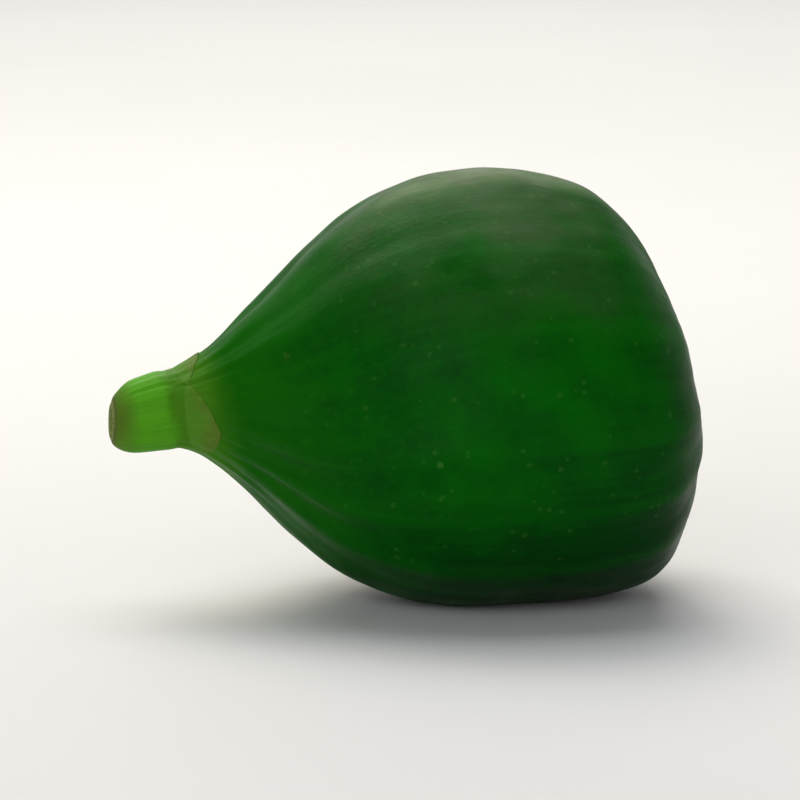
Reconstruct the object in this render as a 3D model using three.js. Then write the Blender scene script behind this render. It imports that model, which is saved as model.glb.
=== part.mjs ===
// A whole green fig lying on its side, in one closed body: the fruit with its neck, the stub of
// stalk, the three basal bracts round the collar, and the eye with its scales.
// Millimetres, +Z up. The stalk points to -X and the eye to +X. The fig rests on a small flat spot
// at z = 0, and the origin is under the middle of its bounding box.

import * as THREE from 'three';

// ---------------------------------------------------------------- driving dimensions

const FRUIT_LENGTH = 41.0;      // eye end to collar, along the axis
const BELLY_RADIUS = 18.2;      // the fruit at its widest
const COLLAR_RADIUS = 3.4;      // where the neck meets the stalk
const STALK_LENGTH = 6.0;       // collar to cut face
const STALK_RADIUS = 2.9;       // the stub at its waist
const CUT_SLANT = 0.2;          // how far the cut face leans back, as rise over run

const AXIS_PITCH = THREE.MathUtils.degToRad(9.4);   // the eye end is held this much higher
const EYE_DROOP = 1.9;          // the eye end sags below the straight axis
const NECK_LIFT = 3.4;          // the neck curls up from the straight axis
const NECK_LEAN = 0.8;          // and a little towards -Y

const RIB_COUNT = 14;           // faint lengthwise ribs, one over each vein
const RIB_HEIGHT = 0.17;        // at the shoulder, where they are strongest
const BELLY_RIB_HEIGHT = 0.07;
const OVALITY = 0.25;           // the belly is this much wider, and as much lower, than a circle
const LUMP_HEIGHT = 0.2;        // broad dents and swellings

const BRACT_COUNT = 3;
const BRACT_LENGTH = 2.4;       // collar to tip
const BRACT_THICKNESS = 0.25;
const BRACT_EDGE = 0.45;        // half the width over which a bract thins to nothing

const EYE_RADIUS = 2.5;         // foot of the outer scales
const EYE_RIM_HEIGHT = 0.28;    // the lip of skin round the eye
const SCALE_THICKNESS = 0.26;   // step down at the edge of each whorl of scales
const SCALE_EDGE = 0.17;        // half the width of that step, as a share of EYE_RADIUS
const SCALES_PER_WHORL = 5;
const SCALE_REACH = 0.38;       // from a scale's foot to its tip, as a share of EYE_RADIUS
const WHORL_COUNT = 3;
const WHORL_SPACING = 0.27;     // from whorl to whorl, as a share of EYE_RADIUS
const PORE_RADIUS = 0.35;
const PORE_DEPTH = 0.4;

const FLAT_DEPTH = 0.35;        // how much of the belly the resting spot takes off
const SEGMENTS = 72;            // points round each ring

// ---------------------------------------------------------------- outline

// The outline runs from the eye along the fruit to the centre of the cut face. Each entry has
// its place along the part, its radius, and the number of rings up to the next entry.
// In the fruit, places are shares of FRUIT_LENGTH and radii shares of BELLY_RADIUS.
const FRUIT_OUTLINE = [
  [0.011, 0.000, 14],
  [0.007, 0.225, 3],
  [0.020, 0.450, 3],
  [0.056, 0.703, 3],
  [0.130, 0.902, 3],
  [0.244, 0.985, 3],
  [0.371, 1.000, 3],
  [0.500, 0.972, 3],
  [0.624, 0.880, 3],
  [0.737, 0.718, 3],
  [0.827, 0.535, 3],
  [0.900, 0.357, 6],
  [0.957, 0.243, 6],
];

// In the stalk, places are shares of STALK_LENGTH past the collar and radii shares of
// STALK_RADIUS.
const STALK_OUTLINE = [
  [0.40, 1.07, 3],
  [0.74, 0.97, 2],
  [0.91, 0.78, 2],
  [0.99, 0.54, 7],
  [1.00, 0.00, 0],
];

const COLLAR = [FRUIT_LENGTH, COLLAR_RADIUS, 4];

const outline = [
  ...FRUIT_OUTLINE.map(([place, radius, rings]) => [
    place * FRUIT_LENGTH,
    radius * BELLY_RADIUS,
    rings,
  ]),
  COLLAR,
  ...STALK_OUTLINE.map(([place, radius, rings]) => [
    FRUIT_LENGTH + place * STALK_LENGTH,
    radius * STALK_RADIUS,
    rings,
  ]),
];

const outlinePoints = outline.map(([along, radius]) => new THREE.Vector2(along, radius));
const outlineCurve = new THREE.SplineCurve(outlinePoints);

// The curve parameters at which rings are placed, poles included.
function ringParameters() {
  const spans = outline.length - 1;
  const parameters = [];
  for (let span = 0; span < spans; span += 1) {
    const rings = outline[span][2];
    for (let step = 0; step < rings; step += 1) {
      parameters.push((span + step / rings) / spans);
    }
  }
  parameters.push(1);
  return parameters;
}

// ---------------------------------------------------------------- relief

const { smoothstep } = THREE.MathUtils;

// Height of the line through the middle of the sections, above the straight axis.
function centreHeight(along) {
  const droop = -EYE_DROOP * (1 - smoothstep(along, 0, 0.49 * FRUIT_LENGTH));
  const lift = NECK_LIFT * smoothstep(along, 0.73 * FRUIT_LENGTH, 1.05 * FRUIT_LENGTH);
  return droop + lift;
}

// Sideways place of the same line.
function centreSide(along) {
  return -NECK_LEAN * smoothstep(along, 0.73 * FRUIT_LENGTH, FRUIT_LENGTH + STALK_LENGTH);
}

// Ribs: one wave for each rib, unevenly spaced, fading out at the eye end and at the collar.
function ribs(along, radius, angle) {
  const share = along / FRUIT_LENGTH;
  const place = angle + 0.1 * Math.sin(2 * angle + 0.7) + 0.05 * Math.sin(5 * angle + 2.1);
  const strength = 1 + 0.4 * Math.cos(3 * angle + 1.0);
  const growth = smoothstep(share, 0.35, 0.75);
  const height = strength * THREE.MathUtils.lerp(BELLY_RIB_HEIGHT, RIB_HEIGHT, growth);
  const eyeFade = smoothstep(radius / BELLY_RADIUS + 2 * share, 0.4, 0.9);
  const collarFade = 1 - smoothstep(share, 0.82, 0.95);
  return height * eyeFade * collarFade * Math.cos(RIB_COUNT * place);
}

// Broad unevenness: a slightly oval section and shallow swellings that drift round the fruit.
function lumps(along, radius, angle) {
  const share = along / FRUIT_LENGTH;
  const fade = smoothstep(radius, 0.2 * BELLY_RADIUS, 0.8 * BELLY_RADIUS);
  const oval = OVALITY * Math.cos(2 * angle);
  const three = LUMP_HEIGHT * Math.cos(3 * angle + 5 * share - 0.3);
  const five = 0.4 * LUMP_HEIGHT * Math.cos(5 * angle - 7 * share + 1.0);
  return fade * (oval + three + five);
}

// An uneven row of pointed lobes round the axis: 1 at each tip, 0 where two lobes meet.
function lobes(count, angle, turn) {
  const place = angle + 0.12 * Math.sin(2 * angle + 1.3);
  return Math.sqrt(1 - Math.abs(Math.sin(0.5 * count * place + turn)));
}

// Bracts: three pointed scales rooted on the collar, their tips lying along the neck.
function bracts(along, angle) {
  const tip = FRUIT_LENGTH - BRACT_LENGTH * lobes(BRACT_COUNT, angle, 0.5);
  const edge = smoothstep(along, tip - BRACT_EDGE, tip + BRACT_EDGE);
  const foot = 1 - smoothstep(along, FRUIT_LENGTH, FRUIT_LENGTH + 1.8);
  return BRACT_THICKNESS * edge * foot;
}

// Eye: a low lip, inside which whorls of scales step down to the pore.
function eye(along, radius, angle) {
  if (along > 0.1 * FRUIT_LENGTH) {
    return 0;
  }
  const reach = radius / EYE_RADIUS;
  let height = EYE_RIM_HEIGHT * Math.exp(-(((reach - 1.3) / 0.45) ** 2));
  for (let whorl = 0; whorl < WHORL_COUNT; whorl += 1) {
    const foot = 1 - WHORL_SPACING * whorl;
    const edge = foot - SCALE_REACH * lobes(SCALES_PER_WHORL, angle, 0.4 + (whorl * Math.PI) / 2);
    height -= SCALE_THICKNESS * (1 - smoothstep(reach, edge - SCALE_EDGE, edge + SCALE_EDGE));
  }
  return height - PORE_DEPTH * Math.exp(-((radius / PORE_RADIUS) ** 2));
}

// Cut face: the ring of sap vessels stands up a little and the pith has sunk.
function cutFace(along, radius) {
  const inner = smoothstep(along, FRUIT_LENGTH + 0.97 * STALK_LENGTH, FRUIT_LENGTH + STALK_LENGTH);
  const share = radius / STALK_RADIUS;
  const vessels = 0.12 * Math.exp(-(((share - 0.55) / 0.12) ** 2));
  const pith = -0.2 * Math.exp(-((share / 0.3) ** 2));
  return inner * (vessels + pith);
}

// ---------------------------------------------------------------- surface

// A point of the skin: the outline's point moved along its own normal by the relief, turned
// round the axis by the angle, and set on the bent centre line.
function skinPoint(parameter, angle) {
  const { x: along, y: radius } = outlineCurve.getPoint(parameter);
  const tangent = outlineCurve.getTangent(parameter);
  const relief =
    ribs(along, radius, angle) +
    lumps(along, radius, angle) +
    bracts(along, angle) +
    eye(along, radius, angle) +
    cutFace(along, radius);
  const place = along - tangent.y * relief;
  const reach = radius + tangent.x * relief;
  const pastCollar = (along - FRUIT_LENGTH) / STALK_LENGTH;
  const lean = CUT_SLANT * smoothstep(pastCollar, 0.3, 1);
  const rise = reach * Math.sin(angle);
  return new THREE.Vector3(
    lean * rise - place,
    centreSide(along) - reach * Math.cos(angle),
    centreHeight(along) + rise,
  );
}

// The skin as rings of points between two poles, joined by triangles facing outwards.
function skinGeometry() {
  const parameters = ringParameters();
  const rings = parameters.slice(1, -1);
  const points = [skinPoint(0, 0)];
  for (const parameter of rings) {
    for (let segment = 0; segment < SEGMENTS; segment += 1) {
      points.push(skinPoint(parameter, (2 * Math.PI * segment) / SEGMENTS));
    }
  }
  points.push(skinPoint(1, 0));

  const eyePole = 0;
  const cutPole = points.length - 1;
  const corner = (ring, segment) => 1 + ring * SEGMENTS + (segment % SEGMENTS);
  const indices = [];
  for (let segment = 0; segment < SEGMENTS; segment += 1) {
    indices.push(eyePole, corner(0, segment + 1), corner(0, segment));
    for (let ring = 0; ring < rings.length - 1; ring += 1) {
      const near = [corner(ring, segment), corner(ring, segment + 1)];
      const far = [corner(ring + 1, segment), corner(ring + 1, segment + 1)];
      indices.push(near[0], near[1], far[1], near[0], far[1], far[0]);
    }
    indices.push(cutPole, corner(rings.length - 1, segment), corner(rings.length - 1, segment + 1));
  }

  const geometry = new THREE.BufferGeometry().setFromPoints(points);
  geometry.setIndex(indices);
  return geometry;
}

// Tips the fig on to its belly, presses the lowest stretch flat and puts that at z = 0.
function layDown(geometry) {
  geometry.rotateY(-AXIS_PITCH);
  geometry.computeBoundingBox();
  const floor = geometry.boundingBox.min.z + FLAT_DEPTH;
  const positions = geometry.getAttribute('position');
  for (let index = 0; index < positions.count; index += 1) {
    positions.setZ(index, Math.max(positions.getZ(index), floor));
  }
  geometry.computeBoundingBox();
  const middle = geometry.boundingBox.getCenter(new THREE.Vector3());
  geometry.translate(-middle.x, -middle.y, -floor);
  geometry.computeVertexNormals();
  return geometry;
}

// ---------------------------------------------------------------- the fig

const skinMaterial = new THREE.MeshStandardMaterial({
  color: 0x0b4a0c,
  roughness: 0.42,
  metalness: 0,
});

const fig = new THREE.Mesh(layDown(skinGeometry()), skinMaterial);
fig.name = 'fig';

const part = new THREE.Group();
part.add(fig);

export default part;
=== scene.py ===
# %% [markdown]
# # A whole green fig
# A fig is a fleshy flask: a round belly, a neck that narrows into a stalk, and an eye at the other
# end, closed by small scales. The frame holds it as a plain closed solid at its real size. This
# lesson builds the surface that is seen, from the same sizes and formulas but with many more
# points, sets thin scales and bracts on it, and gives each its own finish.
# The first cell loads the frame.

# %% Load the frame
import math

import bpy
import numpy as np
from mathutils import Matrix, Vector


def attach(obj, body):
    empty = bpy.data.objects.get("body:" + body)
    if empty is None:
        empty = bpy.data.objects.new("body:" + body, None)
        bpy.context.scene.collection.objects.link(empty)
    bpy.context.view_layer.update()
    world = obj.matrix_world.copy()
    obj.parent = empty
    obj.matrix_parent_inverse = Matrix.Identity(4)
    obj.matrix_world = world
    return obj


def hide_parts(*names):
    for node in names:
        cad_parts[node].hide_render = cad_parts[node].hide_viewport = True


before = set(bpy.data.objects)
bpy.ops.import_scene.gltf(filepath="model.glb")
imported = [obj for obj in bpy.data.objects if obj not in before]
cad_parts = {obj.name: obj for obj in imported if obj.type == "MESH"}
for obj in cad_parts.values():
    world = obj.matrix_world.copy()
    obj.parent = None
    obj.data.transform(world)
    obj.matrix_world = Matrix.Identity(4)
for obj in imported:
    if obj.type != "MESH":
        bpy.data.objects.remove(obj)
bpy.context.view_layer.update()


# %% [markdown]
# ## The sizes
# All of the fig's sizes are driving values in millimetres, the same as in the solid's source. The
# mesh is made in metres, so every point is multiplied by MM at the very end. Keeping one unit for
# the whole of the shape work makes each value easy to check with a ruler.

# %% Sizes
MM = 0.001
FRUIT_LENGTH = 41.0       # eye end to collar, along the axis
BELLY_RADIUS = 18.2       # the fruit at its widest
COLLAR_RADIUS = 3.4       # where the neck meets the stalk
STALK_LENGTH = 6.0        # collar to cut face
STALK_RADIUS = 2.9        # the stub at its waist
CUT_SLANT = 0.2           # how far the cut face leans back, as rise over run
AXIS_PITCH = math.radians(9.4)
FLAT_DEPTH = 0.35         # how much of the belly the resting spot takes off
EYE_RADIUS = 2.5          # from the axis to the foot of the outer scales
print(f"fig {FRUIT_LENGTH + STALK_LENGTH:.1f} mm long, {2 * BELLY_RADIUS:.1f} mm across")

# %% [markdown]
# ## The outline
# Cut a fig lengthwise and half of its outline is a line that starts at the eye, swells to the
# belly and thins down to the stalk. It could be drawn by hand as a curve object, or turned from
# arcs. Here a smooth curve will run through a few points, because a fig has no true arcs.
# Each point has its place along the axis, its radius, and how many rings of the mesh follow it:
# many where there is fine detail, at the eye and the collar, and fewer along the belly.

# %% Outline points
FRUIT_OUTLINE = [  # shares of the fruit's length and of the belly's radius
    (0.011, 0.000, 46), (0.007, 0.225, 13), (0.020, 0.450, 12), (0.056, 0.703, 12),
    (0.130, 0.902, 13), (0.244, 0.985, 13), (0.371, 1.000, 13), (0.500, 0.972, 13),
    (0.624, 0.880, 12), (0.737, 0.718, 12), (0.827, 0.535, 12), (0.900, 0.357, 14),
    (0.957, 0.243, 14),
]
STALK_OUTLINE = [  # shares of the stalk's length past the collar and of its radius
    (0.40, 1.07, 10), (0.74, 0.97, 10), (0.91, 0.78, 12), (0.99, 0.54, 22), (1.00, 0.00, 0),
]
outline = [(a * FRUIT_LENGTH, r * BELLY_RADIUS, n) for a, r, n in FRUIT_OUTLINE]
outline += [(FRUIT_LENGTH, COLLAR_RADIUS, 14)]
outline += [(FRUIT_LENGTH + a * STALK_LENGTH, r * STALK_RADIUS, n) for a, r, n in STALK_OUTLINE]
outline_points = np.array([(a, r) for a, r, _ in outline])
ring_counts = [n for _, _, n in outline]
spans = len(outline) - 1
print(len(outline), "outline points,", sum(ring_counts), "rings")

# %% [markdown]
# ## A smooth curve through points
# The points must be joined without a corner, because skin has none. Blender's Bezier curve could
# do it, but each point would need two handles. This curve needs the points alone: it leaves each
# one along the line between its neighbours. It gives its slope too, which tells which way is out.


# %% Smooth curve
def smooth_curve(points, where):
    """Place and slope of a smooth curve through points, at parameters from 0 to 1.

    Between two points the curve is a cubic. Its slope at each end is half the step between the
    neighbours on both sides, and an end point stands in for the neighbour it lacks.
    """
    last = len(points) - 1
    scaled = np.clip(where, 0, 1) * last
    start = np.minimum(scaled.astype(int), last - 1)
    t = (scaled - start)[..., None]
    before, here, there, after = (points[np.clip(start + k, 0, last)] for k in (-1, 0, 1, 2))
    leave, arrive = (there - before) / 2, (after - here) / 2
    cube = 2 * here - 2 * there + leave + arrive
    square = -3 * here + 3 * there - 2 * leave - arrive
    place = cube * t**3 + square * t**2 + leave * t + here
    return place, 3 * cube * t**2 + 2 * square * t + leave


widest = smooth_curve(outline_points, np.linspace(0, 1, 1000))[0][:, 1].max()
print(f"the curve is widest at a radius of {widest:.2f} mm")

# %% [markdown]
# ## Soft steps and bells
# Nearly everything on a fruit fades in and out: a rib, a dent, a change of colour. A straight ramp
# would show a crease at each end. Two small functions, a soft step and a bell, have no corners and
# do nearly all of the shaping below.


# %% Soft step and bell
def ease(value, start, end):
    """0 before start, 1 after end, and an S between them: 3 t squared minus 2 t cubed."""
    t = np.clip((value - start) / (end - start), 0, 1)
    return t * t * (3 - 2 * t)


def hump(value, middle, width):
    """A bell: 1 at the middle, e to the minus one at a width to either side."""
    return np.exp(-(((value - middle) / width) ** 2))


print("soft step at a quarter, half and three quarters:", ease(np.array([0.25, 0.5, 0.75]), 0, 1))

# %% [markdown]
# ## The bent middle line
# A fig hangs on its tree, so its neck curls and its heavy end sags. The rings of the outline are
# therefore centred on a line that drops at the eye end and rises at the neck. Bending the mesh
# afterwards with a modifier would work too, but a formula can be repeated for every small piece
# that sits on the fruit.

# %% Middle line
EYE_DROOP = 1.9           # the eye end sags below the straight axis
NECK_LIFT = 3.4           # the neck curls up from the straight axis
NECK_LEAN = 0.8           # and a little towards -Y
DROOP_END = 0.49 * FRUIT_LENGTH    # from here on the middle line is straight, until the neck
CURL_START = 0.73 * FRUIT_LENGTH
CURL_END = 1.05 * FRUIT_LENGTH


def middle_height(along):
    """Height above the straight axis: minus the droop at the eye, plus the lift at the neck."""
    droop = EYE_DROOP * (1 - ease(along, 0, DROOP_END))
    return NECK_LIFT * ease(along, CURL_START, CURL_END) - droop


def middle_side(along):
    """Sideways place: the neck leans a little towards -Y."""
    return -NECK_LEAN * ease(along, CURL_START, FRUIT_LENGTH + STALK_LENGTH)


print(f"middle line at the eye {middle_height(0):.1f} mm, at the collar "
      f"{middle_height(FRUIT_LENGTH):.1f} mm above the straight axis")

# %% [markdown]
# ## Ribs and lumps
# Sap vessels run under the skin from the stalk to the eye and lift it in faint ribs, strongest on
# the shoulder. The section is a little wider than high, with shallow swellings. A texture could
# push the points about, but cosines of the angle round the axis give even, lengthwise ribs. They
# are real relief in the mesh, so that they show in the outline.

# %% Ribs and lumps
RIB_COUNT = 14
RIB_HEIGHT = 0.17         # at the shoulder
BELLY_RIB_HEIGHT = 0.07
OVALITY = 0.25            # the belly is this much wider, and as much lower, than a circle
LUMP_HEIGHT = 0.2


def rib_place(angle):
    """The angle, warped by two waves, so that the ribs are unevenly spaced."""
    return angle + 0.1 * np.sin(2 * angle + 0.7) + 0.05 * np.sin(5 * angle + 2.1)


def ribs(along, radius, angle):
    """Rib height: one cosine for each rib, stronger at the shoulder, fading at eye and collar."""
    share = along / FRUIT_LENGTH
    strength = 1 + 0.4 * np.cos(3 * angle + 1.0)
    height = BELLY_RIB_HEIGHT + (RIB_HEIGHT - BELLY_RIB_HEIGHT) * ease(share, 0.35, 0.75)
    fade = ease(radius / BELLY_RADIUS + 2 * share, 0.4, 0.9) * (1 - ease(share, 0.82, 0.95))
    return strength * height * fade * np.cos(RIB_COUNT * rib_place(angle))


def lumps(along, radius, angle):
    """Broad swellings: waves of two, three and five round the axis. The last two drift along."""
    share = along / FRUIT_LENGTH
    oval = OVALITY * np.cos(2 * angle)
    three = LUMP_HEIGHT * np.cos(3 * angle + 5 * share - 0.3)
    five = 0.4 * LUMP_HEIGHT * np.cos(5 * angle - 7 * share + 1.0)
    return ease(radius, 0.2 * BELLY_RADIUS, 0.8 * BELLY_RADIUS) * (oval + three + five)


shoulder_ribs = ribs(0.75 * FRUIT_LENGTH, 0.7 * BELLY_RADIUS, np.linspace(0, 2 * math.pi, 720))
print(f"{RIB_COUNT} ribs, at most {shoulder_ribs.max():.2f} mm high on the shoulder")

# %% [markdown]
# ## Eye cup, collar and cut face
# A low lip of skin rings the eye, and inside it the skin sinks to a pore: the cup that the scales
# will fill. Thin creases run down the neck and along the stalk, a shallow groove marks the collar,
# and the cut face shows a ring of vessels round sunken pith. They could be carved with a sculpting
# brush. As heights made of waves, bells and soft steps, added to the outline, they stay editable.

# %% Eye cup, collar and cut face
EYE_END = 0.1 * FRUIT_LENGTH         # the eye lies before this place on the axis
LIP_HEIGHT = 0.28
LIP_PLACE, LIP_WIDTH = 1.3, 0.45     # as shares of the eye's radius
CUP_DEPTH = 0.85
CUP_EDGE = 1.05
PORE_RADIUS = 0.35
PORE_DEPTH = 0.4
CREASE_HEIGHT = 0.045
CREASES_IN, CREASES_OUT = (0.78, 0.93), (0.99, 1.03)   # as shares of the fruit's length
FIBRE_HEIGHT = 0.035
FIBRES_IN, FIBRES_OUT = (0.99, 1.04), (1.10, 1.13)
GROOVE_DEPTH, GROOVE_PLACE, GROOVE_WIDTH = 0.08, 1.1, 0.35   # its place is past the collar
VESSEL_HEIGHT, VESSEL_PLACE, VESSEL_WIDTH = 0.12, 0.42, 0.09   # as shares of the stalk's radius
PITH_DEPTH, PITH_WIDTH = 0.2, 0.25
CUT_START, CUT_END = FRUIT_LENGTH + 0.97 * STALK_LENGTH, FRUIT_LENGTH + STALK_LENGTH


def eye_cup(along, radius):
    """A bell-shaped lip, less a cup with an S-shaped wall, less a bell-shaped pore."""
    reach = radius / EYE_RADIUS
    cup = CUP_DEPTH * (1 - ease(reach, 0, CUP_EDGE)) + PORE_DEPTH * hump(radius, 0, PORE_RADIUS)
    return (along < EYE_END) * (LIP_HEIGHT * hump(reach, LIP_PLACE, LIP_WIDTH) - cup)


def creases(along, angle):
    """Waves round the neck and the stalk, each kept to its own stretch, and the collar's groove."""
    share = along / FRUIT_LENGTH
    uneven = rib_place(angle) + 0.25 * share
    on_neck = ease(share, *CREASES_IN) * (1 - ease(share, *CREASES_OUT))
    on_stalk = ease(share, *FIBRES_IN) * (1 - ease(share, *FIBRES_OUT))
    neck = CREASE_HEIGHT * (np.cos(21 * uneven) + 0.5 * np.cos(37 * uneven + 1.3))
    stalk = FIBRE_HEIGHT * (np.cos(13 * uneven + 0.4) + 0.6 * np.cos(29 * uneven))
    groove = GROOVE_DEPTH * hump(along, FRUIT_LENGTH + GROOVE_PLACE, GROOVE_WIDTH)
    return on_neck * neck + on_stalk * stalk - groove


def cut_face(along, radius):
    """A raised ring of vessels and a bell-shaped dip of pith, on the cut face only."""
    share = radius / STALK_RADIUS
    vessel_ring = VESSEL_HEIGHT * hump(share, VESSEL_PLACE, VESSEL_WIDTH)
    return ease(along, CUT_START, CUT_END) * (vessel_ring - PITH_DEPTH * hump(share, 0, PITH_WIDTH))


print(f"the pore lies {-eye_cup(0, 0):.2f} mm under the plain outline")

# %% [markdown]
# ## From the outline to the skin
# The relief is added along the outline's own normal, so that the lip of the eye rises along the
# axis and a rib on the belly rises outwards. Then each ring is turned round the axis, set on the
# middle line and tipped by the pitch. A subdivided sphere could be pushed into shape instead, but
# here the rings lie exactly where the detail is.

# %% Skin points
SEGMENTS = 352
SLANT_START = FRUIT_LENGTH + 0.3 * STALK_LENGTH


def ring_parameters():
    """Curve parameters of the rings: each stretch between points is cut into its own count."""
    stretches = [(k + np.arange(ring_counts[k]) / ring_counts[k]) / spans for k in range(spans)]
    return np.append(np.concatenate(stretches), 1.0)


def skin_points(where, angle, lift=0.0):
    """Points of the skin in millimetres, before it is laid down, with along and radius there.

    Outline point plus relief and lift times the outline's unit normal, turned round the axis by
    the angle, then tipped by the pitch: a turn about Y.
    """
    place, slope = smooth_curve(outline_points, where)
    slope = slope / np.linalg.norm(slope, axis=-1, keepdims=True)
    along, radius = place[..., 0] + 0 * angle, place[..., 1] + 0 * angle
    relief = ribs(along, radius, angle) + lumps(along, radius, angle) + creases(along, angle)
    relief = relief + eye_cup(along, radius) + cut_face(along, radius) + lift
    reach = radius + slope[..., 0] * relief
    rise = reach * np.sin(angle)
    lean = CUT_SLANT * ease(along, SLANT_START, CUT_END)
    x = lean * rise - (along - slope[..., 1] * relief)
    y = middle_side(along) - reach * np.cos(angle)
    z = middle_height(along) + rise
    c, s = math.cos(AXIS_PITCH), math.sin(AXIS_PITCH)
    return np.stack([c * x - s * z, y, s * x + c * z], axis=-1), along, radius


parameters = ring_parameters()[:, None]
angles = np.linspace(0, 2 * math.pi, SEGMENTS, endpoint=False)[None, :]
smooth_points, along, radius = skin_points(parameters, angles)
print("rings:", len(parameters), "points in each:", SEGMENTS)

# %% [markdown]
# ## Fine relief
# Close up, the skin is never smooth. Soft ripples cross it, hair-thin veins run beside the ribs,
# and a few shallow dents remain from its neighbours. A noise texture could bump the shading only.
# Here the ripples are a sum of plane waves that cross the fruit in random directions, so they have
# no seam, and the dents are bells round random points of the skin. A seed makes the same random
# numbers in each run.

# %% Ripples
dice = np.random.default_rng(11)
RIPPLE_COUNT = 26
RIPPLE_LENGTHS = (2.2, 9.0)
RIPPLE_SLOPE = 0.012      # rise over run of one wave


def ripples(points):
    """Sum of plane waves, each a cosine of the distance along its heading. Long ones are higher."""
    total = 0
    for _ in range(RIPPLE_COUNT):
        heading = dice.normal(size=3)
        heading = heading / np.linalg.norm(heading)
        length, start = dice.uniform(*RIPPLE_LENGTHS), dice.uniform(0, 2 * math.pi)
        turn = 2 * math.pi / length
        total = total + RIPPLE_SLOPE / turn * np.cos(turn * (points @ heading) + start)
    return total


def bells(points, centres, widths, heights):
    """Sum of bells round the centres, each by the distance through space."""
    total = 0
    for centre, width, height in zip(centres, widths, heights):
        total = total + height * hump(np.linalg.norm(points - centre, axis=-1), 0, width)
    return total


print("ripples of", RIPPLE_COUNT, "waves,", RIPPLE_LENGTHS, "mm from crest to crest")

# %% [markdown]
# The three kinds of fine relief are added up into one height for each point. On the neck, which is
# tight and smooth, the ripples are weaker and there are no dents.

# %% Veins and dents
VEIN_HEIGHT = 0.012
DENT_COUNT = 16
DENT_WIDTHS = (0.9, 3.2)
DENT_HEIGHTS = (-0.08, -0.02)
BELLY_RINGS = (60, 190)   # the rings of the mesh that lie on the belly


def veins(along, radius, angle):
    """Three thin waves to each rib, drifting a little round the axis, on the belly only."""
    drift = 2.0 * np.sin(5 * along / FRUIT_LENGTH)
    on_belly = ease(radius, 0.3 * BELLY_RADIUS, 0.6 * BELLY_RADIUS)
    return VEIN_HEIGHT * on_belly * np.cos(3 * RIB_COUNT * rib_place(angle) + drift)


on_fruit = ease(radius, 0.25 * BELLY_RADIUS, 0.5 * BELLY_RADIUS)   # 0 on the neck
rows = dice.integers(*BELLY_RINGS, DENT_COUNT)
columns = dice.integers(0, SEGMENTS, DENT_COUNT)
dents = bells(
    smooth_points, smooth_points[rows, columns],
    dice.uniform(*DENT_WIDTHS, DENT_COUNT), dice.uniform(*DENT_HEIGHTS, DENT_COUNT),
)
fine = (0.35 + 0.65 * on_fruit) * ripples(smooth_points) + on_fruit * dents
fine = fine + veins(along, radius, angles)
print(f"fine relief from {fine.min():.2f} to {fine.max():.2f} mm")

# %% [markdown]
# ## Lay the fig down
# A loose fig lies on its belly, and its weight presses a small spot flat. Clay could be squashed;
# here the lowest points are simply raised to one height. The skin is made again with its fine
# relief, pressed flat, and moved so that its box is centred over the origin. The floor height and
# the centre come from the smooth skin, because the solid was placed by that.

# %% Lay the fig down
points, along, radius = skin_points(parameters, angles, fine)
floor_height = smooth_points[..., 2].min() + FLAT_DEPTH
points[..., 2] = np.maximum(points[..., 2], floor_height)
low, high = smooth_points.min((0, 1)), smooth_points.max((0, 1))
shift = np.array([(low[0] + high[0]) / 2, (low[1] + high[1]) / 2, floor_height])
print("skin box in millimetres:", np.round(points.max((0, 1)) - points.min((0, 1)), 2))

# %% [markdown]
# ## One closed mesh
# A mesh is a list of points and a list of faces that name their corners. The skin is a grid of
# rings, and its first and last rings have shrunk to one point each: the eye's pore and the middle
# of the cut face. A cylinder with two caps would leave seams to merge. Here the grid closes on
# itself, with quads between rings and a fan of triangles at each end, and has no seam at all.


# %% Closed mesh
def closed_mesh(name, shapes):
    """One mesh of closed shapes. Each is a grid of rings whose first and last are one point."""
    vertices, faces, start = [], [], 0
    for rings in shapes:
        count, segments = rings.shape[0] - 2, rings.shape[1]
        corner = start + 1 + np.arange(count * segments).reshape(count, segments)
        turned = np.roll(corner, -1, axis=1)
        quads = np.stack([corner[:-1], turned[:-1], turned[1:], corner[1:]], axis=-1)
        first, last = np.full(segments, start), np.full(segments, start + 1 + count * segments)
        faces += np.stack([first, turned[0], corner[0]], axis=-1).tolist()
        faces += quads.reshape(-1, 4).tolist()
        faces += np.stack([last, corner[-1], turned[-1]], axis=-1).tolist()
        vertices += [rings[:1, 0], rings[1:-1].reshape(-1, 3), rings[-1:, 0]]
        start += 2 + count * segments
    mesh = bpy.data.meshes.new(name)
    mesh.from_pydata(((np.concatenate(vertices) - shift) * MM).tolist(), [], faces)
    mesh.shade_smooth()
    piece = bpy.data.objects.new(name, mesh)
    bpy.context.scene.collection.objects.link(piece)
    print(f"{name}: {len(mesh.vertices)} points, {len(mesh.polygons)} faces")
    return piece


fig = closed_mesh("fig_skin", [points])

# %% [markdown]
# ## What the skin's material needs to know
# A material can't tell where the neck ends or where the eye lies. An image could be painted over
# an unwrapped skin, but the shape formulas already know, so their values are stored on the points:
# how far along the fruit, how far from the axis, and how high on a rib. A direction that circles
# the axis is stored as its cosine and sine, which have no seam, so that streaks run from stalk to
# eye. Small pale scars are bells round random points.


# %% Store the skin's values
def paint(piece, name, grids):
    """Stores one number for each vertex, given as a grid for each shape, for a material to read."""
    flat = [np.concatenate([g[:1, 0], g[1:-1].reshape(-1), g[-1:, 0]]) for g in grids]
    values = np.concatenate(flat).astype(np.float32)
    piece.data.attributes.new(name, "FLOAT", "POINT").data.foreach_set("value", values)


SCAR_COUNT = 26
SCAR_WIDTHS = (0.25, 0.7)
SCAR_RINGS = (60, 200)
CUT_EDGE = (FRUIT_LENGTH + 0.955 * STALK_LENGTH, FRUIT_LENGTH + 0.99 * STALK_LENGTH)
FAR_FROM_EYE = 9.0        # stored wherever the eye is out of reach

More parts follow.
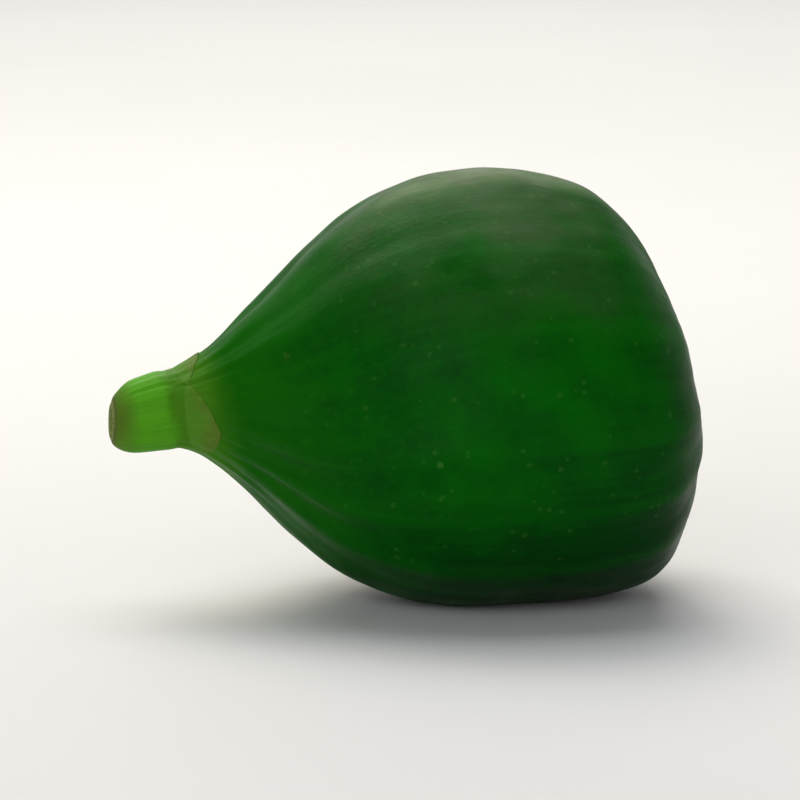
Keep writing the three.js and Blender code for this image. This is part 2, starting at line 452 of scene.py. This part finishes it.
angle_grid = angles + 0 * along
near_eye = along < EYE_END
scar_rows = dice.integers(*SCAR_RINGS, SCAR_COUNT)
scar_columns = dice.integers(0, SEGMENTS, SCAR_COUNT)
scar_widths = dice.uniform(*SCAR_WIDTHS, SCAR_COUNT)
scar_centres = smooth_points[scar_rows, scar_columns]
scars = bells(smooth_points, scar_centres, scar_widths, np.ones(SCAR_COUNT))
paint(fig, "share", [along / FRUIT_LENGTH])
paint(fig, "eye_reach", [np.where(near_eye, radius / EYE_RADIUS, FAR_FROM_EYE)])
paint(fig, "rib", [np.cos(RIB_COUNT * rib_place(angle_grid))])
paint(fig, "scar", [np.clip(scars, 0, 1)])
paint(fig, "cut", [ease(along, *CUT_EDGE)])
paint(fig, "cut_reach", [radius / STALK_RADIUS])
paint(fig, "round_cos", [np.cos(angle_grid)])
paint(fig, "round_sin", [np.sin(angle_grid)])
print("stored:", ", ".join(a.name for a in fig.data.attributes if a.data_type == "FLOAT"))

# %% [markdown]
# ## Scales of the eye
# The eye of a fig is closed by small pointed scales in whorls, each lying over the gaps of the one
# beneath like tiles. They could be drawn as a pattern in the skin, but then they would cast no
# shadow, so each is a thin closed shell. One scale is a grid: v runs from its root to its tip, and
# a ring of points goes round its thin body at each v. Its place on the fruit comes from the skin's
# own formula, with a lift.

# %% One scale of the eye
SCALE_THICKNESS = 0.14
SCALE_DOME = 0.10         # how much its middle stands above its edges
SCALE_LEAN = 0.07         # one edge of a scale lies this much higher than its middle
eye_where = np.linspace(0, 3 / spans, 300)   # the first three stretches of the outline
eye_radii = smooth_curve(outline_points, eye_where)[0][:, 1]


def thin_body(rings, corners):
    """Grids of a thin body: v, 0 at its root and 1 at its tip, and the cosine and sine round it."""
    v = (1 - np.cos(np.linspace(0, math.pi, rings)))[:, None] / 2
    turn = np.linspace(0, 2 * math.pi, corners, endpoint=False)[None, :]
    return v + 0 * turn, np.cos(turn) + 0 * v, np.sin(turn) + 0 * v


def pointed(v):
    """Width, 0 at root and tip: the sine of half a turn times the root of v, filled out."""
    return np.maximum(np.sin(math.pi * np.sqrt(v)), 0) ** 0.8


def eye_scale(turn, root, tip, half_width, start, end, bulge):
    """A scale that points at the axis, from radius root to radius tip, at the angle turn.

    Its height above the plain outline runs from start to end with a bulge between, domed across
    and leaning to one side, plus half its thickness times the sine round its body.
    """
    v, across, through = scale_body
    width = pointed(v)
    inwards, sideways = root + (tip - root) * v, half_width * width * across
    height = start + (end - start) * v**2 + bulge * np.sin(math.pi * v)
    height = height + width * (SCALE_DOME * (1 - across**2) + SCALE_LEAN * across)
    height = height + SCALE_THICKNESS / 2 * np.sqrt(width) * through
    reach = np.hypot(inwards, sideways)
    where = np.interp(reach, eye_radii, eye_where)
    return skin_points(where, turn + np.arctan2(sideways, inwards), height - eye_cup(0, reach))[0]


scale_body = thin_body(26, 28)
print("a scale has {} rings of {} points".format(*scale_body[0].shape))

# %% [markdown]
# The scales stand in three whorls, five outside, five between them and four at the pore. Copies of
# one scale would look stamped, so each has its own small random turn, length, width and bulge.

# %% Three whorls
WHORLS = [  # count, first turn, root, tip, half width, start, end, bulge
    (5, 0.35, 2.85, 1.00, 1.62, 0.00, -0.22, 0.20),
    (5, 0.98, 2.15, 0.42, 1.15, -0.22, -0.46, 0.14),
    (4, 0.20, 1.30, 0.05, 0.72, -0.48, -0.66, 0.10),
]
scales, scale_tints = [], []
for count, first, root, tip, half_width, start, end, bulge in WHORLS:
    for step in range(count):
        turn = first + 2 * math.pi * (step + dice.uniform(-0.07, 0.07)) / count
        length = dice.uniform(0.92, 1.08)
        scales.append(eye_scale(
            turn, root, root + (tip - root) * length, half_width * dice.uniform(0.94, 1.06),
            start, end, bulge * dice.uniform(0.8, 1.2),
        ))
        scale_tints.append(dice.uniform(0, 1))
eye_scales = closed_mesh("eye_scales", scales)

# %% [markdown]
# ## Bracts of the collar
# Three short, broad bracts hug the collar, where the flower's stem carried them. Their thin dry
# tips lift a little from the neck. Cutting them out of a shrink-wrapped sheet would leave ragged
# edges. They are made like the scales, but their place is given along the axis and by the angle
# round it, and they have more points, so that they follow each crease of the neck beneath.

# %% One bract
BRACT_LENGTH = 2.3        # collar to tip
BRACT_ROOT = 1.0          # how far past the collar a bract is rooted
BRACT_THICKNESS = 0.2
BRACT_DOME = 0.06
BRACT_SUNK, BRACT_RISE = 0.23, 0.26   # its root lies under the skin, and then it rises
BRACT_HALF_ANGLE = 1.12   # half its breadth, as an angle round the axis
neck_where = np.linspace(7 / spans, 1, 600)   # from the belly to the cut face
neck_along = smooth_curve(outline_points, neck_where)[0][:, 0]


def bract(turn, length, curl):
    """A bract rooted past the collar that points down the neck, at the angle turn.

    Its lift starts below the skin, rises to rest on it, and grows with the cube of v by the curl.
    """
    v, across, through = bract_body
    width = pointed(v)
    place = FRUIT_LENGTH + BRACT_ROOT - (BRACT_ROOT + length) * v
    lift = BRACT_RISE * ease(v, 0, 0.6) - BRACT_SUNK + curl * v**3
    lift = lift + BRACT_DOME * width * (1 - across**2)
    lift = lift + BRACT_THICKNESS / 2 * np.sqrt(width) * through
    where = np.interp(place, neck_along, neck_where)
    return skin_points(where, turn + BRACT_HALF_ANGLE * width * across, lift)[0]


bract_body = thin_body(44, 128)
print(f"a bract is {2 * BRACT_HALF_ANGLE * COLLAR_RADIUS:.1f} mm broad round the collar")

# %% [markdown]
# The three bracts stand a third of a turn apart, and as on the eye each has a turn, a length and a
# curl of its own.

# %% Three bracts
BRACT_COUNT = 3
FIRST_BRACT = -0.33       # its angle round the axis
bracts, bract_tints = [], []
for step in range(BRACT_COUNT):
    turn = FIRST_BRACT + 2 * math.pi * (step + dice.uniform(-0.05, 0.05)) / BRACT_COUNT
    length = BRACT_LENGTH * dice.uniform(0.85, 1.1)
    bracts.append(bract(turn, length, dice.uniform(0.04, 0.14)))
    bract_tints.append(dice.uniform(0, 1))
collar_bracts = closed_mesh("collar_bracts", bracts)

# %% [markdown]
# On the real fig, a scale dries from its tip and its edges inwards, and no two dry alike. Their
# material could be made fourteen times over. Instead each point stores how near the tip and how
# near the edge it lies, with one random tint for its scale, and a single material reads them.

# %% Store the values of scales and bracts
for piece, body, tints in (
    (eye_scales, scale_body, scale_tints), (collar_bracts, bract_body, bract_tints),
):
    v, across, _ = body
    paint(piece, "to_tip", [v for _ in tints])
    paint(piece, "across", [across for _ in tints])
    paint(piece, "tint", [tint + 0 * v for tint in tints])
print("tints:", [round(t, 2) for t in scale_tints + bract_tints])

# %% [markdown]
# ## Tools for materials
# A procedural material is a small machine of nodes, which could be wired by hand in the shader
# editor. In a script, a few helpers keep it readable: one adds a node and joins its sockets, one
# reads a stored value, one turns a range of numbers into a mask of 0 to 1, two combine masks, and
# one mixes colours.


# %% Nodes, masks and mixes
def put(tree, kind, inputs=None, **settings):
    """Adds a node. Each input is a value, or another node's output, which is then linked."""
    made = tree.nodes.new(kind)
    for name, value in settings.items():
        setattr(made, name, value)
    for socket, value in (inputs or {}).items():
        if isinstance(value, bpy.types.NodeSocket):
            tree.links.new(value, made.inputs[socket])
        else:
            made.inputs[socket].default_value = value
    return made


def stored(tree, name):
    """The value that paint() stored under that name."""
    return put(tree, "ShaderNodeAttribute", attribute_name=name).outputs["Fac"]


def span(tree, value, start, end, low=0.0, high=1.0):
    """A soft step from low, where value is start, to high, where it is end."""
    sockets = {"Value": value, "From Min": start, "From Max": end, "To Min": low, "To Max": high}
    return put(tree, "ShaderNodeMapRange", sockets, interpolation_type="SMOOTHSTEP").outputs[0]


def maths(tree, operation, first, second=0.0):
    """The result of one operation on two numbers."""
    return put(tree, "ShaderNodeMath", {0: first, 1: second}, operation=operation).outputs[0]


def both(tree, first, second):
    """The product of two masks: 1 only where both are 1."""
    return maths(tree, "MULTIPLY", first, second)


def plus(tree, first, second):
    """The sum of two numbers."""
    return maths(tree, "ADD", first, second)


def mixed(tree, mask, first, second):
    """A colour that is first where the mask is 0 and second where it is 1."""
    sockets = {0: mask, 6: first, 7: second}
    return put(tree, "ShaderNodeMix", sockets, data_type="RGBA").outputs[2]


print("kinds of node that these helpers add: Attribute, Map Range, Math, Mix")

# %% [markdown]
# Noise is the raw stuff of natural finishes, and bump turns a mask into fine relief for the light
# alone. Colours are easiest to judge as they appear on a screen, from 0 to 255, but a shader adds
# up light, so each is turned into a share of light first.


# %% Noise, bump and colour
def noise(tree, vector, scale, detail=4.0, roughness=0.5):
    """Cloudy noise, with this many patches to a unit of the vector."""
    sockets = {"Vector": vector, "Scale": scale, "Detail": detail, "Roughness": roughness}
    return put(tree, "ShaderNodeTexNoise", sockets).outputs["Fac"]


def bump(tree, height, strength, distance, under=None):
    """Bends the normal by a height, on top of another bump."""
    sockets = {"Height": height, "Strength": strength, "Distance": distance}
    if under:
        sockets["Normal"] = under
    return put(tree, "ShaderNodeBump", sockets).outputs[0]


def colour(red, green, blue):
    """A screen colour of 0 to 255 as light: the sRGB curve, a short line and then a power."""
    screen = np.array([red, green, blue]) / 255
    light = np.where(screen <= 0.04045, screen / 12.92, ((screen + 0.055) / 1.055) ** 2.4)
    return (*light.tolist(), 1.0)


def new_material(name):
    """A material with nodes: its tree and its shader come with it."""
    made = bpy.data.materials.new(name)
    made.use_nodes = True
    return made, made.node_tree, made.node_tree.nodes["Principled BSDF"]


print("middle grey of the screen as light:", round(colour(128, 128, 128)[0], 3))

# %% [markdown]
# ## The skin
# A green fig's skin is a deep bottle green, and never one green: cloudy patches of three sizes lie
# over each other, and faint pale lines follow the ribs and veins. A painted picture wrapped round
# it would blur close up. Layers of noise stay sharp at any distance: object coordinates carry the
# patches, and the stored direction round the axis carries the streaks.

# %% Patches and streaks
DEEP = colour(0, 77, 1)
LIGHT = colour(2, 91, 2)
SHADE = colour(0, 50, 7)
CLOUDS, MOTTLE, GRAIN = 55.0, 240.0, 1500.0   # patches to the metre
STREAK_STRETCH = (9.0, 9.0, 2.2)              # patches round the axis, and from eye to collar

skin, tree, shader = new_material("fig_skin")
spot = put(tree, "ShaderNodeTexCoord").outputs["Object"]
circling = {"X": stored(tree, "round_cos"), "Y": stored(tree, "round_sin")}
lengthwise = put(tree, "ShaderNodeCombineXYZ", {**circling, "Z": stored(tree, "share")}).outputs[0]
streak_space = {"Vector": lengthwise, "Scale": STREAK_STRETCH}
streak_space = put(tree, "ShaderNodeMapping", streak_space).outputs[0]

clouds = span(tree, noise(tree, spot, CLOUDS, 2.0), 0.38, 0.62)
mottle = span(tree, noise(tree, spot, MOTTLE, 3.0), 0.36, 0.66)
grain = noise(tree, spot, GRAIN, 2.0)
streaks = noise(tree, streak_space, 1.0, 5.0, 0.6)
fine_streaks = noise(tree, streak_space, 3.5, 3.0, 0.6)
base = mixed(tree, clouds, DEEP, LIGHT)
base = mixed(tree, both(tree, mottle, 0.4), base, SHADE)
base = mixed(tree, span(tree, streaks, 0.6, 0.42, 0.0, 0.14), base, SHADE)
base = mixed(tree, span(tree, fine_streaks, 0.5, 0.75, 0.0, 0.2), base, LIGHT)
base = mixed(tree, span(tree, grain, 0.45, 0.7, 0.0, 0.25), base, LIGHT)
print("patches and streaks:", len(tree.nodes), "nodes")

# %% [markdown]
# Painted shade: the belly and the eye end are painted darker and bluer, standing in for the shade
# that falls there, and the ribs are a little paler. It could be one spot of paint, but the dot
# product of the place and a direction grows evenly across the fruit, and the streaks make its
# border uneven.

# %% Painted shade and paler ribs
# painted shade: a darker, bluer green for the belly and the eye end
PAINTED_UNDERSIDE_SHADE = colour(0, 32, 9)
PAINTED_SHADE_DIRECTION = (0.45, 0.0, -0.89)   # the direction in which the skin grows darker
towards_painted_shade = {0: spot, 1: PAINTED_SHADE_DIRECTION}
towards_painted_shade = put(tree, "ShaderNodeVectorMath", towards_painted_shade, operation="DOT_PRODUCT")
towards_painted_shade = plus(
    tree, towards_painted_shade.outputs["Value"], span(tree, streaks, 0.3, 0.7, -0.003, 0.003)
)
# painted shade: mixed in more towards the belly and the eye end
base = mixed(tree, span(tree, towards_painted_shade, -0.015, 0.005, 0.0, 0.8), base, PAINTED_UNDERSIDE_SHADE)
rib_line = both(tree, span(tree, stored(tree, "rib"), 0.55, 1.0), span(tree, streaks, 0.35, 0.65))
base = mixed(tree, both(tree, rib_line, 0.35), base, LIGHT)
print("with the shaded side:", len(tree.nodes), "nodes")

# %% [markdown]
# Wax makes a thin greyish bloom in torn, streaky patches, thinning towards the neck. Here it is
# also painted sheen: the mask lays it on thickest on the upper side, as a hazy sheen of light along
# the top. A second coat in the shader could stand for it. A mask of height, noise and streaks gives
# its ragged edge with less.

# %% Wax bloom and painted sheen
# wax bloom and painted sheen: a warm grey haze
WAX_BLOOM_AND_PAINTED_SHEEN = colour(68, 83, 56)
BLOOM_AND_SHEEN_LOW, BLOOM_AND_SHEEN_HIGH = 0.021, 0.035   # it thickens between these heights, in metres
RUBBED = 80.0             # patches to the metre where the bloom is worn thin
height_now = put(tree, "ShaderNodeSeparateXYZ", {"Vector": spot}).outputs["Z"]
# painted sheen with the bloom: thickest on the upper side, by height
bloom_and_painted_sheen = span(tree, height_now, BLOOM_AND_SHEEN_LOW, BLOOM_AND_SHEEN_HIGH, 0.0, 0.62)
bloom_and_painted_sheen = both(tree, bloom_and_painted_sheen, span(tree, noise(tree, spot, RUBBED, 3.0, 0.6), 0.38, 0.62, 0.1, 1.0))
bloom_and_painted_sheen = both(tree, bloom_and_painted_sheen, span(tree, streaks, 0.3, 0.7, 0.5, 1.0))
bloom_and_painted_sheen = both(tree, bloom_and_painted_sheen, span(tree, stored(tree, "share"), 0.5, 0.78, 1.0, 0.5))
base = mixed(tree, bloom_and_painted_sheen, base, WAX_BLOOM_AND_PAINTED_SHEEN)
print("with the bloom:", len(tree.nodes), "nodes")

# %% [markdown]
# ## Pores and scars
# The skin breathes through small pale pores, scattered unevenly, and a few healed scars remain
# from rubbing. Dots of paint would take for ever. Voronoi noise cuts space into cells: a small
# disc round the middle of each cell is a pore, kept only where a second noise is high, so that
# they don't look printed on. Two sizes are laid over each other.

# %% Pores and scars
SPECK = colour(70, 122, 48)
SCAR = colour(96, 112, 54)
SMALL_PORES, LARGE_PORES = 950.0, 330.0   # cells to the metre


def pores(tree, vector, scale, size, patchiness):
    """Small soft discs, 0 to 1, in patches: the disc's radius less the distance to its middle.

    A cell's random colour makes its disc large or small.
    """
    cells = put(tree, "ShaderNodeTexVoronoi", {"Vector": vector, "Scale": scale})
    own_size = span(tree, cells.outputs["Color"], 0.1, 0.9, 0.35 * size, 1.3 * size)
    depth = maths(tree, "SUBTRACT", own_size, cells.outputs["Distance"])
    patch = span(tree, noise(tree, vector, scale * 0.6, 1.0), patchiness, patchiness + 0.1)
    return both(tree, span(tree, depth, 0.0, 0.4 * size), patch)


small_pores = pores(tree, spot, SMALL_PORES, 0.22, 0.42)
large_pores = pores(tree, spot, LARGE_PORES, 0.12, 0.54)
base = mixed(tree, both(tree, small_pores, 0.16), base, SPECK)
base = mixed(tree, both(tree, large_pores, 0.34), base, SPECK)
scar_now = both(tree, stored(tree, "scar"), span(tree, grain, 0.3, 0.7, 0.3, 1.0))
base = mixed(tree, span(tree, scar_now, 0.3, 0.9, 0.0, 0.5), base, SCAR)
print("with pores and scars:", len(tree.nodes), "nodes")

# %% [markdown]
# ## The ends of the fig
# Towards the stalk the skin clears to a yellow green. The collar is olive, and the stub of stalk a
# bright lime with darker fibres. Separate pieces would need seams that the real fig lacks, so each
# colour is laid over the one before it where the stored share says that it begins. Noise added to
# the share makes every border wander.

# %% Neck, collar and stalk
NECK = colour(13, 85, 0)
COLLAR = colour(68, 122, 20)
STALK = colour(80, 152, 26)
STALK_SHADE = colour(54, 124, 24)
CUT_RIM = colour(74, 74, 30)
share_now = stored(tree, "share")
wander = plus(tree, share_now, span(tree, streaks, 0.3, 0.7, -0.04, 0.04))
patchy = plus(tree, share_now, span(tree, mottle, 0.0, 1.0, -0.006, 0.006))
base = mixed(tree, span(tree, wander, 0.66, 0.97), base, NECK)
base = mixed(tree, span(tree, patchy, 0.90, 0.99, 0.0, 0.85), base, COLLAR)
fibres = span(tree, fine_streaks, 0.4, 0.65)
stalk_colour = mixed(tree, both(tree, fibres, 0.4), STALK, STALK_SHADE)
base = mixed(tree, span(tree, patchy, 1.02, 1.045), base, stalk_colour)
base = mixed(tree, span(tree, patchy, 1.090, 1.142, 0.0, 0.68), base, CUT_RIM)
print("with neck, collar and stalk:", len(tree.nodes), "nodes")

# %% [markdown]
# The cut stalk has drawn back as it dried: a brown rim, a paler ring dotted with the ends of its
# vessels, and a dull green pith. The stored distance from the axis draws them as rings, and small
# pores in the ring stand for the vessels.

# %% Cut face
CUT = colour(96, 112, 58)
CUT_PITH = colour(72, 92, 40)
CUT_RING = colour(128, 134, 84)
VESSELS = 3300.0          # cells to the metre
cut_now, cut_reach = stored(tree, "cut"), stored(tree, "cut_reach")
vessel_ends = pores(tree, spot, VESSELS, 0.34, 0.2)
in_ring = both(tree, span(tree, cut_reach, 0.28, 0.35), span(tree, cut_reach, 0.58, 0.50))
cut_colour = mixed(tree, span(tree, grain, 0.35, 0.65, 0.0, 0.6), CUT, CUT_PITH)
cut_colour = mixed(tree, span(tree, cut_reach, 0.30, 0.12, 0.0, 0.7), cut_colour, CUT_PITH)
cut_colour = mixed(tree, both(tree, in_ring, 0.5), cut_colour, CUT_RING)
cut_colour = mixed(tree, both(tree, in_ring, vessel_ends), cut_colour, CUT_RIM)
cut_colour = mixed(tree, span(tree, cut_reach, 0.52, 0.62), cut_colour, CUT_RIM)
base = mixed(tree, cut_now, base, cut_colour)
print("with the cut face:", len(tree.nodes), "nodes")

# %% [markdown]
# A yellow-green halo surrounds the eye, and the cup under its scales is dark brown. A gradient
# texture would give a perfect disc. The stored distance from the eye, shaken by the mottle, gives
# a halo with a soft uneven edge.

# %% Halo of the eye
HALO = colour(74, 94, 30)
CUP = colour(46, 38, 16)
reach_now = stored(tree, "eye_reach")
halo_reach = plus(tree, reach_now, span(tree, mottle, 0.0, 1.0, -0.2, 0.2))
base = mixed(tree, span(tree, halo_reach, 1.9, 1.0, 0.0, 0.9), base, HALO)
base = mixed(tree, span(tree, reach_now, 0.95, 0.6), base, CUP)
tree.links.new(base, shader.inputs["Base Color"])
print("with the halo:", len(tree.nodes), "nodes")

# %% [markdown]
# ## Wax
# The wax gives a soft, broad gloss, and whitens the skin a little where it is seen at a low angle:
# the shader's sheen. Light also sinks a millimetre or so into the flesh. All of this could be
# mixed from several shaders, but the Principled shader has a socket for each. What is the same
# all over is set on the socket itself. The roughness changes from patch to patch, so it is linked.

# %% Wax
WORN_PATCHES = 260.0      # patches to the metre where the gloss changes
shader.inputs["IOR"].default_value = 1.36
shader.inputs["Specular IOR Level"].default_value = 0.06
shader.inputs["Sheen Weight"].default_value = 0.011
shader.inputs["Sheen Roughness"].default_value = 0.35
shader.inputs["Sheen Tint"].default_value = (1.0, 0.96, 0.7, 1.0)
shader.inputs["Subsurface Weight"].default_value = 0.15
shader.inputs["Subsurface Radius"].default_value = (0.6, 1.0, 0.25)
shader.inputs["Subsurface Scale"].default_value = 0.0015
rough = span(tree, noise(tree, spot, WORN_PATCHES, 3.0), 0.3, 0.7, 0.34, 0.46)
rough = plus(tree, rough, both(tree, span(tree, wander, 0.95, 1.03), 0.1))
rough = maths(tree, "MAXIMUM", rough, both(tree, cut_now, 0.75))
tree.links.new(rough, shader.inputs["Roughness"])
print("sockets set: IOR, specular level, sheen, subsurface; linked: base colour, roughness")

# %% [markdown]
# Streaks, grain and pores smaller than the mesh's own faces could only be modelled with millions
# of points, so they are bump: four heights, each bending the normal a little more.

# %% Grain
SHALLOW, HAIR_THIN = 0.0002, 0.00006   # the height of each bump in metres
SOFT_GRAIN, SHARP_GRAIN = 800.0, 3200.0   # patches to the metre
skin_normal = bump(tree, fine_streaks, 0.12, SHALLOW)
skin_normal = bump(tree, noise(tree, spot, SOFT_GRAIN, 2.0), 0.14, SHALLOW, skin_normal)
skin_normal = bump(tree, noise(tree, spot, SHARP_GRAIN, 2.0), 0.3, HAIR_THIN, skin_normal)
skin_normal = bump(tree, plus(tree, large_pores, scar_now), 0.35, HAIR_THIN, skin_normal)
tree.links.new(skin_normal, shader.inputs["Normal"])
fig.data.materials.append(skin)
print("skin material:", len(tree.nodes), "nodes")

# %% [markdown]
# ## Finish of scales and bracts
# Both are drying leaves: greenish at the root, brown towards the tip, with a thin pale margin and
# fine lengthwise lines. Two materials could be made by hand. One function makes both from three
# colours and the place where green turns to brown, as they differ in nothing else.

# %% Dry leaf
BLOTCHES, LEAF_GRAIN = 900.0, 4000.0   # patches to the metre
LEAF_LINES = 0.00005      # the height of a line in metres
LEAF_ROUGH = 0.00004      # and of the grain


def dry_leaf(name, root_colour, tip_colour, margin_colour, turning):
    """Root colour to tip colour round v = turning, with lines, a margin and a tint of its own."""
    made, tree, shader = new_material(name)
    spot = put(tree, "ShaderNodeTexCoord").outputs["Object"]
    to_tip, sideways, own = stored(tree, "to_tip"), stored(tree, "across"), stored(tree, "tint")
    line_space = {"X": both(tree, sideways, 5.0), "Y": to_tip, "Z": both(tree, own, 30.0)}
    line_space = put(tree, "ShaderNodeCombineXYZ", line_space).outputs[0]
    lines = noise(tree, line_space, 2.0, 4.0, 0.6)
    blotch = noise(tree, spot, BLOTCHES, 3.0)
    turned = plus(tree, to_tip, span(tree, blotch, 0.3, 0.7, -0.15, 0.15))
    turned = plus(tree, turned, span(tree, own, 0.0, 1.0, -0.1, 0.1))
    browned = span(tree, turned, turning - 0.25, turning + 0.25)
    base = mixed(tree, browned, root_colour, tip_colour)
    base = mixed(tree, span(tree, lines, 0.42, 0.66, 0.0, 0.35), base, margin_colour)
    edge = span(tree, maths(tree, "ABSOLUTE", sideways), 0.9, 1.0)
    edge = both(tree, edge, span(tree, blotch, 0.35, 0.6, 0.2, 0.7))
    base = mixed(tree, edge, base, margin_colour)
    tree.links.new(base, shader.inputs["Base Color"])
    tree.links.new(span(tree, blotch, 0.3, 0.7, 0.5, 0.7), shader.inputs["Roughness"])
    shader.inputs["Specular IOR Level"].default_value = 0.12
    shader.inputs["Subsurface Weight"].default_value = 0.1
    shader.inputs["Subsurface Radius"].default_value = (0.6, 0.8, 0.25)
    shader.inputs["Subsurface Scale"].default_value = 0.0005
    normal = bump(tree, lines, 0.5, LEAF_LINES)
    normal = bump(tree, noise(tree, spot, LEAF_GRAIN, 2.0), 0.25, LEAF_ROUGH, normal)
    tree.links.new(normal, shader.inputs["Normal"])
    print(f"{name}: {len(tree.nodes)} nodes")
    return made


eye_scales.data.materials.append(
    dry_leaf("eye_scales", colour(88, 98, 32), colour(66, 46, 18), colour(108, 94, 44), 0.42)
)
collar_bracts.data.materials.append(
    dry_leaf("collar_bracts", COLLAR, colour(76, 104, 24), colour(84, 122, 34), 0.66)
)

# %% [markdown]
# ## Who carries what
# A fig has no moving part: all of it is one body, so every piece rides on that. The solid could
# stay and be seen, but the finer skin stands for it, so the solid is hidden.

# %% Ride and replace
for piece in (fig, eye_scales, collar_bracts):
    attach(piece, "root")
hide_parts("fig")
print("pieces:", fig.name, eye_scales.name, collar_bracts.name)

# %% [markdown]
# ## Floor and backdrop
# The fig lies in the middle of a wide pale bowl. A flat plane would end in a line across the
# picture. The bowl is a flat floor that curves up into a wall all round, so that no line shows
# from any side. Its profile is a flat stretch, a quarter circle and an upright, turned round the
# Z axis.

# %% Bowl
FLOOR_RADIUS, WALL_BEND, WALL_TOP = 0.9, 0.5, 1.3
BOWL_SEGMENTS = 96
bend = np.linspace(0, math.pi / 2, 24)
rim = FLOOR_RADIUS + WALL_BEND
bowl_radius = np.concatenate([[0.0, 0.1], FLOOR_RADIUS + WALL_BEND * np.sin(bend), [rim]])
bowl_height = np.concatenate([[0.0, 0.0], WALL_BEND * (1 - np.cos(bend)), [WALL_TOP]])
bowl_radius, bowl_height = bowl_radius[:, None], bowl_height[:, None]
around = np.linspace(0, 2 * math.pi, BOWL_SEGMENTS, endpoint=False)
bowl_grid = [bowl_radius * np.cos(around), bowl_radius * np.sin(around), bowl_height + 0 * around]
bowl_grid = np.stack(bowl_grid, axis=-1)
corner = np.arange(len(bowl_radius) * BOWL_SEGMENTS).reshape(-1, BOWL_SEGMENTS)
turned = np.roll(corner, -1, axis=1)
bowl_faces = np.stack([corner[:-1], corner[1:], turned[1:], turned[:-1]], axis=-1).reshape(-1, 4)
bowl_mesh = bpy.data.meshes.new("floor")
bowl_mesh.from_pydata(bowl_grid.reshape(-1, 3).tolist(), [], bowl_faces.tolist())
bowl_mesh.shade_smooth()
floor = bpy.data.objects.new("floor", bowl_mesh)
bpy.context.scene.collection.objects.link(floor)
print("bowl:", len(bowl_faces), "faces")

# %% [markdown]
# The bowl is matt paper with faint clouds in it. It is a little greyer under the fig, so that it
# throws less light up at the belly, and paler at the wall, which stands further from the lights.

# %% Paper
NEAR_PAPER = (0.650, 0.660, 0.672, 1.0), (0.690, 0.700, 0.712, 1.0)
WALL_PAPER = (0.80, 0.80, 0.80, 1.0)
PAPER_CLOUDS = 18.0       # patches to the metre
paper, paper_tree, paper_shader = new_material("pale_floor")
paper_spot = put(paper_tree, "ShaderNodeTexCoord").outputs["Object"]
paper_colour = mixed(paper_tree, noise(paper_tree, paper_spot, PAPER_CLOUDS, 2.0), *NEAR_PAPER)
from_middle = put(paper_tree, "ShaderNodeVectorMath", {0: paper_spot}, operation="LENGTH")
outwards = span(paper_tree, from_middle.outputs["Value"], 0.4, 1.2)
paper_colour = mixed(paper_tree, outwards, paper_colour, WALL_PAPER)
paper_tree.links.new(paper_colour, paper_shader.inputs["Base Color"])
paper_shader.inputs["Roughness"].default_value = 0.8
floor.data.materials.append(paper)
print("paper:", len(paper_tree.nodes), "nodes")

# %% [markdown]
# ## Light
# A fig looks waxy, not wet, when its highlights are broad, so every light is a large soft square;
# a spot or a sun would draw a hard white dot. The overhead light is very broad and lights fig and
# bowl alike. The key and the rim light stand behind and above, and their low angle gives the hazy
# warm sheen along the top. A broad weak fill in front opens the belly, and the pale world fills
# what is left.

# %% Lights
FIG_MIDDLE = Vector((0.0, 0.0, 0.017))
WARM = (1.0, 0.90, 0.74)
WORLD_STRENGTH = 0.12


def soft_light(name, place, size, power, tint=(1.0, 1.0, 1.0)):
    """A square area light at place, facing the fig. Lengths are in metres, power in watts."""
    lamp = bpy.data.lights.new(name, "AREA")
    lamp.size = size
    lamp.energy = power
    lamp.color = tint
    made = bpy.data.objects.new(name, lamp)
    made.location = place
    made.rotation_euler = (FIG_MIDDLE - Vector(place)).to_track_quat("-Z", "Y").to_euler()
    bpy.context.scene.collection.objects.link(made)


soft_light("overhead", (0.0, 0.35, 1.2), 1.2, 10.2)
soft_light("key", (-0.06, 0.22, 0.34), 0.26, 0.78, WARM)
soft_light("rim", (0.10, 0.60, 0.34), 0.34, 0.9, WARM)
soft_light("fill", (-0.45, -0.80, 0.36), 0.60, 3.0)
world = bpy.data.worlds.new("studio")
world.use_nodes = True
world.node_tree.nodes["Background"].inputs["Color"].default_value = (1.0, 1.0, 1.0, 1.0)
world.node_tree.nodes["Background"].inputs["Strength"].default_value = WORLD_STRENGTH
bpy.context.scene.world = world
bpy.context.scene.view_settings.view_transform = "Standard"

# %% [markdown]
# ## Camera
# The fig is seen from its side, stalk to the left, from slightly above. A near camera with a wide
# lens would swell the belly, so it stands far off with a long lens, which keeps the outline true.

# %% Camera
AZIMUTH, ELEVATION = math.radians(-11), math.radians(9)
DISTANCE = 0.42           # in metres
FOCAL_LENGTH = 232        # in millimetres
look = Vector((0.0, 0.0, 0.0165))
flat_reach = math.cos(ELEVATION)
out = Vector((
    math.sin(AZIMUTH) * flat_reach, -math.cos(AZIMUTH) * flat_reach, math.sin(ELEVATION),
))
lens = bpy.data.cameras.new("camera")
lens.lens = FOCAL_LENGTH
lens.clip_end = 10
camera = bpy.data.objects.new("camera", lens)
camera.location = look + DISTANCE * out
camera.rotation_euler = (-out).to_track_quat("-Z", "Y").to_euler()
bpy.context.scene.collection.objects.link(camera)
bpy.context.scene.camera = camera
print("camera at", tuple(round(v, 3) for v in camera.location))
